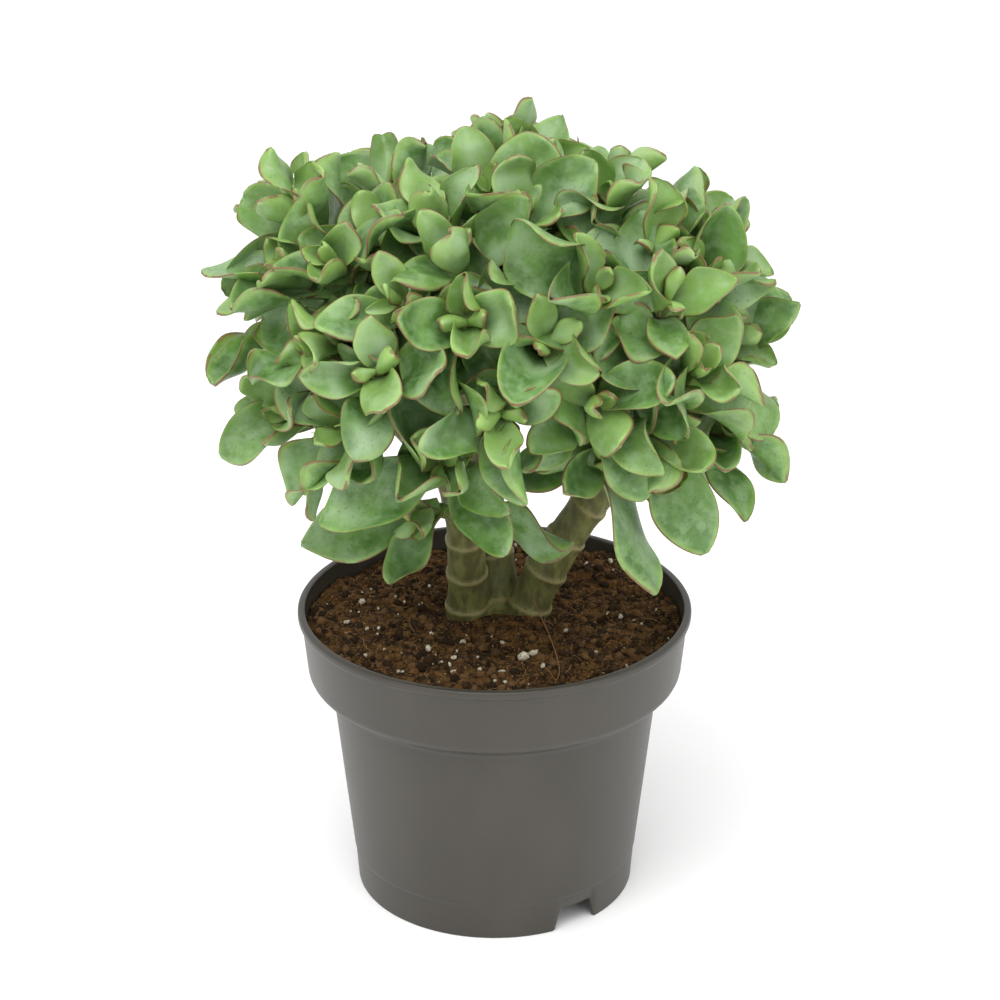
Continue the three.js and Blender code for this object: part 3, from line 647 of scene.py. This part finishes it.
# Each shoot: name, tip, pairs of leaves, turn of the first pair in degrees, and its named long leaves.
SHOOTS = [
    ("crest_left_far", (-76, -36, 186), 4, 20, [(10.9, 0.15, 44)]),
    ("left_shoulder", (-78, -50, 166), 5, 65, [(9.5, 0.15, 49), (9, 0.4, 36)]),
    ("left_brow", (-62, -64, 176), 5, 10, []),
    ("crest_left", (-46, -52, 176), 5, 40, []),
    ("crest_middle_left", (-24, -50, 186), 5, 75, [(11.4, 0.3, 36)]),
    ("brow_middle", (-14, -76, 182), 5, 50, []),
    ("crown_left", (-2, -34, 194), 5, 30, [(10, 0.2, 32)]),
    ("crown_top", (18, -20, 197), 5, 50, [(11.8, 0.1, 36)]),
    ("crown_front", (12, -58, 192), 5, 15, []),
    ("crown_right", (46, -34, 189), 5, 60, [(2, 0.2, 30)]),
    ("right_ridge", (62, -58, 180), 5, 20, []),
    ("crest_right", (82, -38, 169), 4, 10, [(12.3, 0.1, 30), (1.5, 0.1, 36)]),
    ("right_shoulder", (82, -54, 164), 4, 65, [(2, 0.2, 40)]),
    ("middle_right", (40, -92, 174), 5, 30, []),
    ("heart_right", (20, -96, 154), 4, 30, []),
    ("right_heart", (66, -80, 166), 5, 75, []),
    ("right_tip", (95, -42, 136), 4, 20, [(2, 0.1, 44), (2.8, 0.2, 32)]),
    ("right_low", (66, -80, 112), 4, 40, [(8.5, 0.5, 48), (5, 0.5, 58)]),
    ("right_middle", (78, -84, 138), 4, 35, [(3, 0.5, 38)]),
    ("left_front_low", (-44, -102, 146), 5, 20, []),
    ("left_front", (-64, -80, 150), 5, 70, [(9.5, 0.5, 32)]),
    ("left_front_top", (-36, -88, 168), 5, 35, []),
    ("middle_front", (-10, -98, 164), 5, 10, []),
    ("middle_low", (2, -106, 130), 5, 20, []),
    ("low_left", (-80, -60, 112), 4, 15, [(8.7, 0.3, 46), (10.5, 0.4, 30)]),
    ("low_left_front", (-58, -88, 114), 5, 50, [(8, 0.5, 36)]),
    ("right_hang", (92, -44, 102), 3, 20, [(3.4, 0.5, 48), (4.7, 0.6, 50), (2.6, 0.4, 40)]),
    ("front_low", (-20, -98, 106), 4, 50, [(8.3, 0.3, 56), (4, 0.6, 38)]),
    ("middle_low_right", (38, -96, 130), 4, 30, [(4, 0.6, 42), (8, 0.6, 40)]),
    ("low_left_stem", (-32, -36, 57), 2, 65, [(8.6, 0.2, 62), (7.3, 0.7, 44), (3.3, 0.35, 58)]),
    ("low_right_stem", (44, -78, 104), 3, 10, [(5.2, 0.5, 62), (3.9, 0.5, 48), (8.6, 0.5, 44)]),
    ("back_left_edge", (-87, 0, 138), 5, 35, []),
    ("back_right_edge", (91, 12, 136), 5, 60, []),
    ("back_left_high", (-82, 38, 164), 5, 15, []),
    ("back_right_high", (80, 30, 157), 5, 45, []),
    ("back_crown_left", (-44, 20, 181), 5, 80, []),
    ("back_crown_right", (48, 28, 182), 5, 5, []),
    ("back_crown", (2, 40, 192), 5, 55, []),
    ("back_left", (-44, 97, 148), 5, 30, [(10, -0.85, 46)]),
    ("back_right", (46, 99, 146), 5, 20, [(2, -0.85, 46)]),
    ("back_low_left", (-64, 92, 110), 5, 65, []),
    ("back_low_right", (66, 94, 108), 5, 75, []),
]
FIXED_FEET = {"low_left_stem": (-13, -6, 41), "low_right_stem": (60, -4, 75)}

# From the youngest pair at a tip to the oldest: length in mm, lean from the twig and curl in degrees.
PAIR_AGES = [(17, 12, 20), (31, 28, 10), (39, 44, -10), (44, 60, -25), (44, 78, -40)]
PAIR_SPACING = 6
TWIG_REACH, TWIG_FOOT_RADIUS, TWIG_TIP_RADIUS = 34, 3.4, 1.8


def above_rim(places):
    """The plan's heights count from the pot's rim, so the pot's height is added to each z."""
    return np.array(places, float) + [0, 0, POT_HEIGHT]


stem_knots = {name: above_rim(knots) for name, knots in STEM_PATHS.items()}
heart, root_of_axes = above_rim(HEART), above_rim(ROOT_OF_AXES)
tips = above_rim([tip for _, tip, *_ in SHOOTS])


# %% Limbs and the feet of the shoots
def scatter(s, i, stream):
    """A repeatable number from -1 to 1 for leaf i of shoot s: the loose digits of a large sine."""
    mixed = np.sin(s * 12.9898 + i * 78.233 + stream * 37.719) * 43758.5453
    return 2 * (mixed - np.floor(mixed)) - 1


def limb_path(stem_name, end):
    """From the stem's fork to the limb's end, bowed at half way by 9 mm in the stem's own direction."""
    before, fork = stem_knots[stem_name][-2:]
    return smooth_path([fork, (fork + end) / 2 + 9 * unit(fork - before), end], 40)


limb_paths = [limb_path(name, end) for name, ends in LIMB_ENDS.items() for end in above_rim(ends)]
wood_points = np.concatenate([path[8:] for path in limb_paths])


def foot_of(name, tip):
    """Where the shoot leaves the wood: the wood's point nearest to one twig's reach behind the tip."""
    if name in FIXED_FEET:
        return above_rim(FIXED_FEET[name])
    wanted = tip - TWIG_REACH * unit(tip - heart)
    return wood_points[np.linalg.norm(wood_points - wanted, axis=1).argmin()]


# %% One row of numbers for each leaf
TURN_SPREAD, LEAN_SPREAD, LENGTH_SPREAD, CURL_SPREAD = 22, 11, 0.16, 24
LONG_CURL, LONG_CURL_SPREAD, LONG_AGE = -28, 14, 0.9


def leaves_of(s, name, tip, pairs, spin, named):
    """A row for each leaf: base, direction, upper face, length, curl, age, shoot number, 1 if it is long."""
    foot = foot_of(name, tip)
    axis = unit(0.5 * unit(tip - foot) + unit(tip - root_of_axes))
    sideways = unit(np.cross([0, 0, 1], axis))
    forwards = np.cross(axis, sideways)
    rows = []
    for i in range(2 * pairs):
        k = i // 2
        length, lean, curl = PAIR_AGES[k]
        turn = np.radians(spin + 90 * k + 180 * (i % 2) + TURN_SPREAD * scatter(s, i, 1))
        lean = np.radians(lean + LEAN_SPREAD * scatter(s, i, 2))
        outwards = sideways * np.cos(turn) + forwards * np.sin(turn)
        direction = axis * np.cos(lean) + outwards * np.sin(lean)
        face = axis * np.sin(lean) - outwards * np.cos(lean)
        length = length * (1 + LENGTH_SPREAD * scatter(s, i, 3))
        curl = np.radians(curl + CURL_SPREAD * scatter(s, i, 4))
        base = tip - axis * PAIR_SPACING * (k + 0.4)
        rows.append([*base, *direction, *face, length, curl, k / 4, s, 0])
    for i, (hour, lean, length) in enumerate(named):
        turn = np.radians(30 * hour)
        across = np.sqrt(1 - lean**2)
        chord = np.array([np.sin(turn) * across, -lean, np.cos(turn) * across])
        face = unit(axis - chord * (axis @ chord) + 0.02 * forwards)
        curl = np.radians(LONG_CURL + LONG_CURL_SPREAD * scatter(s, i, 8))
        direction = chord * np.cos(curl / 2) - face * np.sin(curl / 2)
        face = face * np.cos(curl / 2) + chord * np.sin(curl / 2)
        base = tip - axis * PAIR_SPACING * (min(pairs, 2) + 0.6 + 0.5 * i)
        rows.append([*base, *direction, *face, length, curl, LONG_AGE, s, 1])
    return rows


leaf_rows = []
for s, (name, _, pairs, spin, named) in enumerate(SHOOTS):
    leaf_rows += leaves_of(s, name, tips[s], pairs, spin, named)
leaf_rows = np.array(leaf_rows)
print("shoots:", len(SHOOTS), "leaves:", len(leaf_rows))

# %% [markdown]
# Leaves of neighbouring twigs would run through each other. On the real plant they push each other aside
# while they grow, and the same is done here: every blade has five probes, probes that come nearer than 9
# mm push apart, and each push turns its leaf a little about its base. Forty small rounds settle the
# crown.


# %% Rib, width and the settling of the crown
def rib_at(rows, share):
    """Along an arc: base + L/c (sin(c u) direction + (1 - cos(c u)) face), with its along and face there."""
    base, direction, face = rows[:, None, 0:3], rows[:, None, 3:6], rows[:, None, 6:9]
    length, curl = rows[:, 9, None, None], rows[:, 10, None, None]
    bend = np.where(np.abs(curl) < 1e-4, 1e-4, curl) * share[None, :, None]
    bend = np.where(np.abs(bend) < 1e-7, 1e-7, bend)
    reach = length * share[None, :, None] / bend
    point = base + reach * (np.sin(bend) * direction + (1 - np.cos(bend)) * face)
    along = np.cos(bend) * direction + np.sin(bend) * face
    return point, along, np.cos(bend) * face - np.sin(bend) * direction


WIDTH_SHARE = 0.7
PROBES = np.array([(0.45, 0), (0.7, -0.8), (0.7, 0.8), (0.72, 0), (1, 0)])
CROWDING_ROUNDS, CROWDING_RANGE, NEIGHBOUR_REACH = 40, 9, 45
CROWDING_PUSH, CROWDING_MOST, LONG_LEAF_FREEDOM = 0.035, 0.16, 0.35


def settle(rows):
    """Turns each leaf about its base by a share of the sum of arm x push of its probes, over its length."""
    for _ in range(CROWDING_ROUNDS):
        point, along, face = rib_at(rows, PROBES[:, 0])
        half = rows[:, 9, None, None] * WIDTH_SHARE / 2
        places = point + np.cross(along, face) * PROBES[None, :, 1:] * half
        middles = places[:, 3]
        near = np.linalg.norm(middles[:, None] - middles[None], axis=-1) < NEIGHBOUR_REACH
        a, b = np.nonzero(near & ~np.eye(len(rows), dtype=bool))
        away = places[a][:, :, None] - places[b][:, None]
        distance = np.linalg.norm(away, axis=-1, keepdims=True) + 1e-9
        push = np.maximum(1 - distance / CROWDING_RANGE, 0) * away / distance
        arm = (places[a] - rows[a, None, :3])[:, :, None]
        turns = np.zeros((len(rows), 3))
        np.add.at(turns, a, np.cross(arm, push).sum((1, 2)))
        turns *= CROWDING_PUSH / rows[:, 9:10] * np.where(rows[:, 13:14] > 0, LONG_LEAF_FREEDOM, 1)
        angle = np.linalg.norm(turns, axis=1, keepdims=True)
        about = turns / (angle + 1e-12)
        angle = np.minimum(angle, CROWDING_MOST)
        for column in (3, 6):
            arrow = rows[:, column:column + 3]
            turned_arrow = arrow * np.cos(angle) + np.cross(about, arrow) * np.sin(angle)
            rows[:, column:column + 3] = unit(turned_arrow + about * dot(about, arrow) * (1 - np.cos(angle)))


settle(leaf_rows)

# %% [markdown]
# ## Leaves
# The leaf of this jade is a thick spatula with a rippled margin: narrow where it clasps the twig, widest
# past the middle, and drawn out to a small curled point. Modelling each by hand would take weeks. One
# formula over (leaf, place along the rib, turn about the section) makes them all, and each leaf's own
# numbers keep them different.

# %% Blade surface
RIB_STEPS, SECTION_STEPS = 26, 24
WIDEST, BASE_WIDTH = 0.62, 0.3
THICKNESS = 2.6
rib_share = np.sort(np.clip(np.linspace(0, 1, RIB_STEPS) ** 0.9 * 0.992, 0, 0.992))
section_turn = np.arange(SECTION_STEPS) * 2 * np.pi / SECTION_STEPS


def own(rows, stream, low, high):
    """A number between low and high for each leaf, shaped (leaf, 1, 1)."""
    place = np.arange(len(rows))
    return lerp(low, high, (scatter(rows[:, 12], place, stream) + 1) / 2)[:, None, None]


def blade_points(rows):
    """Points (leaf, rib, section), the ribs, and each point's distance to the margin.

    Across: half width * cos v. Up: cup + ripples that grow with the square of the distance from the rib,
    + thickness * sin v. The whole section turns with the leaf's twist.
    """
    u = rib_share[None, :, None]
    v = section_turn[None, None, :]
    s = np.cos(v)
    age = rows[:, 11, None, None]
    length = rows[:, 9, None, None]
    long = rows[:, 13, None, None]
    half = length * own(rows, 11, 0.46, 0.70) * lerp(1.0, 0.8, long) / 2
    rise = lerp(BASE_WIDTH, 1, smooth(u / WIDEST))
    t = np.clip((u - WIDEST) / (1 - WIDEST), 0, 1)
    pointed = own(rows, 12, 0.1, 0.6) + 0.25 * long
    fall = (1 - pointed) * np.sqrt(np.maximum(1 - t**2.2, 0)) + pointed * (1 - t**1.5)
    width = half * np.where(u < WIDEST, rise, fall) * (1 + 0 * v)

    point, along, face = rib_at(rows, rib_share)
    across = np.cross(along, face)
    hook = own(rows, 13, -1.0, 1.4)[..., 0] * smooth((rib_share[None] - 0.7) / 0.3)
    point = point + face * (hook * rows[:, 9:10] * 0.1)[..., None]
    twist = (own(rows, 14, -1.2, 1.2) * lerp(1, 1.3, long) * u * lerp(0.5, 1.2, age))[..., :1]
    turned_across = across * np.cos(twist) + face * np.sin(twist)
    turned_face = face * np.cos(twist) - across * np.sin(twist)

    side = np.sign(s)
    cup = own(rows, 15, 0.2, 0.8) * lerp(1.2, 0.9, age) * smooth(u / 0.35)
    waves = own(rows, 16, 0.55, 1.15)
    phase = own(rows, 17, 0, 6.3) + np.where(side > 0, own(rows, 18, 0, 6.3), 0)
    height = own(rows, 19, 0.3, 0.85) * lerp(0.7, 1.15, age) * smooth(u / 0.3) * lerp(0.6, 1.3, u)
    ripple = height * s**2 * np.sin(2 * np.pi * waves * u + phase)
    frill = 0.03 * np.sin(2 * np.pi * 2 * waves * u + 2 * phase) * np.abs(s) ** 3 * smooth(u / 0.3)
    up = width * (cup * np.abs(s) ** 1.5 + ripple + frill)
    groove = 0.25 * np.exp(-((s / 0.14) ** 2)) * (np.sin(v) > 0)
    plump = lerp(1.25, 0.85, u) * (0.72 + 0.28 * (1 - s**2)) - groove
    skin = THICKNESS / 2 * plump * np.sign(np.sin(v)) * np.abs(np.sin(v)) ** 0.6
    skin = skin * np.clip(width / 2.2, 0.25, 1)
    spread = width * s * (1 - 0.25 * (up / np.maximum(width, 0.1)) ** 2)
    sideways = turned_across[:, :, None] * spread[..., None]
    upwards = turned_face[:, :, None] * (up + skin)[..., None]
    points = point[:, :, None] + sideways + upwards
    edge = width * (1 - np.abs(s)) + 0.8 * np.abs(skin) * (np.abs(s) > 0.8)
    return points, point, edge


points, ribs, edges = blade_points(leaf_rows)
print("leaf points:", points.size // 3, "longest leaf:", leaf_rows[:, 9].max())


# %% One mesh for each shoot: its leaves and its twig
def shoot_piece(s, name, tip):
    """One mesh. Its points hold the distance to the margin, the leaf's age and tone, and 1 on the twig."""
    mine = np.nonzero(leaf_rows[:, 12] == s)[0]
    foot = foot_of(name, tip)
    twig_path = smooth_path([foot, (foot + tip) / 2 - 3 * unit(tip - heart), tip], 16)
    twig_radii = lerp(TWIG_FOOT_RADIUS, TWIG_TIP_RADIUS, np.linspace(0, 1, 16))
    blocks, faces, margin, age, tone, bark = [], [], [], [], [], []
    body, caps = capped_tube_faces(RIB_STEPS, SECTION_STEPS)
    start = 0
    for leaf in mine:
        leaf_tip = points[leaf, -1].mean(0)
        block = np.concatenate([ribs[leaf, :1], points[leaf].reshape(-1, 3), leaf_tip[None]])
        edge = np.concatenate([[9], edges[leaf].ravel(), [0]])
        blocks.append(block)
        faces += [body + start, caps + start]
        margin.append(edge)
        age.append(np.full(len(block), leaf_rows[leaf, 11]))
        tone.append(np.full(len(block), (scatter(s, leaf, 21) + 1) / 2))
        bark.append(np.zeros(len(block)))
        start += len(block)
    twig_body, twig_caps = capped_tube_faces(16, 12)
    twig = tube(twig_path, twig_radii, 12)
    blocks.append(twig)
    faces += [twig_body + start, twig_caps + start]
    margin.append(np.full(len(twig), 9.0))
    age.append(np.ones(len(twig)))
    tone.append(np.full(len(twig), 0.5))
    bark.append(np.ones(len(twig)))
    attributes = {"margin": margin, "age": age, "tone": tone, "bark": bark}
    attributes = {key: np.concatenate(values) for key, values in attributes.items()}
    return make_piece(f"rosette_{name}", np.concatenate(blocks), faces, attributes)


shoot_pieces = [shoot_piece(s, name, tips[s]) for s, (name, *_) in enumerate(SHOOTS)]

# %% [markdown]
# The skin is waxy and blue-green with a pale bloom, yellower towards the margin, and the margin itself is
# a fine red-brown line. Older leaves carry dark speckles. The distance to the margin is stored in the
# mesh in millimetres, so the bands keep their width on every leaf.

# %% Waxy green leaf
green_leaf = Finish("jade_leaf")
margin = green_leaf.attribute("margin")
age = green_leaf.attribute("age")
tone = green_leaf.attribute("tone")
cloud = green_leaf.noise(0.014, 3)
fine = green_leaf.noise(0.0011, 2)
green = green_leaf.mix(cloud.above(0.32, 0.7), (68, 104, 46), (108, 146, 76))
green = green_leaf.mix(tone.above(0.5, 1) * 0.5, green, (126, 160, 88))
green = green_leaf.mix(age.below(0.05, 0.5) * 0.6, green, (148, 182, 96))
bloom = green_leaf.noise(0.022, 2).above(0.48, 0.72)
green = green_leaf.mix(bloom * 0.6, green, (158, 182, 146))
mottle = green_leaf.noise(0.0042, 3).above(0.42, 0.66)
green = green_leaf.mix(mottle * 0.35, green, (142, 170, 126))
green = green_leaf.mix(fine.above(0.6, 0.68) * age * 0.5, green, (56, 86, 46))
green = green_leaf.mix(margin.below(0.9, 3.2) * 0.45, green, (140, 170, 84))
worn = green_leaf.noise(0.009, 2).above(0.36, 0.5)
green = green_leaf.mix(margin.below(0.35, 1.25) * worn * 0.8, green, (116, 62, 54))
green = green_leaf.mix(green_leaf.attribute("bark") * 0.8, green, (104, 112, 62))
green_leaf.surface(
    Base_Color=green,
    Roughness=bloom * 0.12 + 0.4,
    Normal=green_leaf.bump(fine + cloud, 0.25, 0.0004),
    Subsurface_Weight=0.12,
    Subsurface_Radius=(0.6, 1.0, 0.25),
    Subsurface_Scale=0.003,
    Specular_IOR_Level=0.45,
)
for piece, (name, *_) in zip(shoot_pieces, SHOOTS):
    stand_for(piece, green_leaf.material, "leaf", f"shoot_{name}")

# %% [markdown]
# ## Wood
# Stems, limbs and the swollen crown are one body of wood with soft joints, so no seam may show where they
# meet. A skin modifier would give the joints but not the ring scars, and a Boolean union would leave hard
# creases. So they are laid out as separate tubes with ring scars, and a voxel remesh melts them into one
# skin, which is then smoothed and given its fine bark from noise.

# %% Tubes of wood
STEM_FOOT_RADIUS, STEM_FORK_RADIUS, RING_SPACING = 9.4, 7.2, 19
LIMB_FOOT_RADIUS, LIMB_TIP_RADIUS = 6, 4
WOOD_VOXEL = 0.8


def ring_swelling(distance):
    """A scar every RING_SPACING: a swelling that rises slowly to a lip, then drops to a fine groove above."""
    off = (distance / RING_SPACING + 0.5) % 1 - 0.5
    rise = np.exp(-((np.minimum(off, 0) / 0.2) ** 2)) * np.exp(-((np.maximum(off, 0) / 0.06) ** 2))
    return rise - 0.5 * np.exp(-(((off - 0.07) / 0.03) ** 2))


def path_lengths(path):
    return np.concatenate([[0], np.cumsum(np.linalg.norm(np.diff(path, axis=0), axis=1))])


wood_blocks, wood_faces, wood_start = [], [], 0
stem_samples = []
stem_curves = {name: smooth_path(knots, 120) for name, knots in stem_knots.items()}
tubes = [(path, STEM_FOOT_RADIUS, STEM_FORK_RADIUS, 0.13) for path in stem_curves.values()]
tubes += [(smooth_path(path[::6], 80), LIMB_FOOT_RADIUS, LIMB_TIP_RADIUS, 0.07) for path in limb_paths]
for path, foot_radius, tip_radius, swelling in tubes:
    distance = path_lengths(path)
    radii = lerp(foot_radius, tip_radius, distance / distance[-1])
    radii = radii * (1 + swelling * ring_swelling(distance))
    radii = radii * (1 + 0.05 * fractal(path, 18, 2, foot_radius))
    block = tube(path, radii, 40)
    body, caps = capped_tube_faces(len(path), 40)
    wood_blocks.append(block)
    wood_faces += [body + wood_start, caps + wood_start]
    wood_start += len(block)
    stem_samples.append(np.concatenate([path, distance[:, None]], 1))

# %% The root crown, and everything melted into one skin
ROOT_CROWN_MIDDLE = np.array([2, 10, SOIL_LEVEL - 4])
ROOT_CROWN_RADII = np.array([20, 11, 8])
latitude = np.linspace(-0.49, 0.49, 30)[:, None] * np.pi
longitude = np.arange(48)[None] * 2 * np.pi / 48
east, north = np.cos(latitude) * np.cos(longitude), np.cos(latitude) * np.sin(longitude)
sphere = np.stack([east, north, np.sin(latitude) + 0 * longitude], -1)
swollen = (1 + 0.12 * fractal(sphere * 15, 12, 3, 4))[..., None]
bumpy = ROOT_CROWN_MIDDLE + sphere * ROOT_CROWN_RADII * swollen
body, caps = capped_tube_faces(30, 48)
poles = ROOT_CROWN_MIDDLE + np.array([[0, 0, -ROOT_CROWN_RADII[2]], [0, 0, ROOT_CROWN_RADII[2]]])
wood_blocks += [np.concatenate([poles[:1], bumpy.reshape(-1, 3), poles[1:]])]
wood_faces += [body + wood_start, caps + wood_start]

wood = make_piece("jade_wood", np.concatenate(wood_blocks), wood_faces)
melt = wood.modifiers.new("melt", "REMESH")
melt.mode, melt.voxel_size = "VOXEL", WOOD_VOXEL * MM
melt.use_smooth_shade = True
soften = wood.modifiers.new("soften", "SMOOTH")
soften.iterations = 4
bake_modifiers(wood)

# %% Fine bark and the distance to the rings
count = len(wood.data.vertices)
flat = np.empty(count * 3)
wood.data.vertices.foreach_get("co", flat)
wood_co = flat.reshape(-1, 3) / MM
normals = np.empty(count * 3)
wood.data.vertex_normals.foreach_get("vector", normals)
bark_lift = 0.22 * fractal(wood_co * [1, 1, 0.5], 4, 3, 9)
moved = wood_co + normals.reshape(-1, 3) * bark_lift[:, None]
wood.data.vertices.foreach_set("co", (moved * MM).ravel())
samples = np.concatenate(stem_samples)
nearest = np.concatenate([
    np.linalg.norm(part[:, None] - samples[None, :, :3], axis=-1).argmin(1)
    for part in np.array_split(wood_co, 60)
])
off_ring = np.abs((samples[nearest, 3] / RING_SPACING + 0.5) % 1 - 0.5) * RING_SPACING
ring_distance = wood.data.attributes.new("ring", "FLOAT", "POINT")
ring_distance.data.foreach_set("value", off_ring.astype(np.float32))
wood.data.update()
print("wood points:", count)

# %% Olive-brown bark
bark = Finish("jade_bark")
ring = bark.attribute("ring")
streaks = bark.noise(0.004, 3, (1, 1, 0.3))
pores = bark.noise(0.0013, 3)
brown = bark.mix(streaks.above(0.38, 0.66), (84, 82, 42), (112, 112, 60))
brown = bark.mix(bark.noise(0.012, 2).above(0.5, 0.7) * 0.5, brown, (118, 122, 72))
brown = bark.mix(pores.above(0.56, 0.7) * 0.35, brown, (66, 58, 32))
brown = bark.mix(ring.below(0.4, 1.3) * 0.55, brown, (150, 138, 88))
bark.surface(Base_Color=brown, Roughness=0.62, Normal=bark.bump(pores + streaks, 0.6, 0.0006))
wood_nodes = ["root_crown", *STEM_PATHS, *(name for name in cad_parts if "_limb_" in name)]
print("wood nodes:", wood_nodes)
stand_for(wood, bark.material, "bark", *wood_nodes)

# %% [markdown]
# ## Floor and the end
# A wide pale floor with no edge in view keeps the setting plain.

# %% Pale floor
FLOOR_HALF = 3000.0
floor_corners = FLOOR_HALF * np.array([(-1, -1, 0), (1, -1, 0), (1, 1, 0), (-1, 1, 0)])
floor = make_piece("pale_floor", floor_corners, [np.array([[0, 1, 2, 3]])])
paper = Finish("pale_paper")
paper.surface(Base_Color=paper.mix(paper.noise(0.4), (250, 250, 250), (254, 254, 254)), Roughness=0.9)
floor.data.materials.append(paper.material)
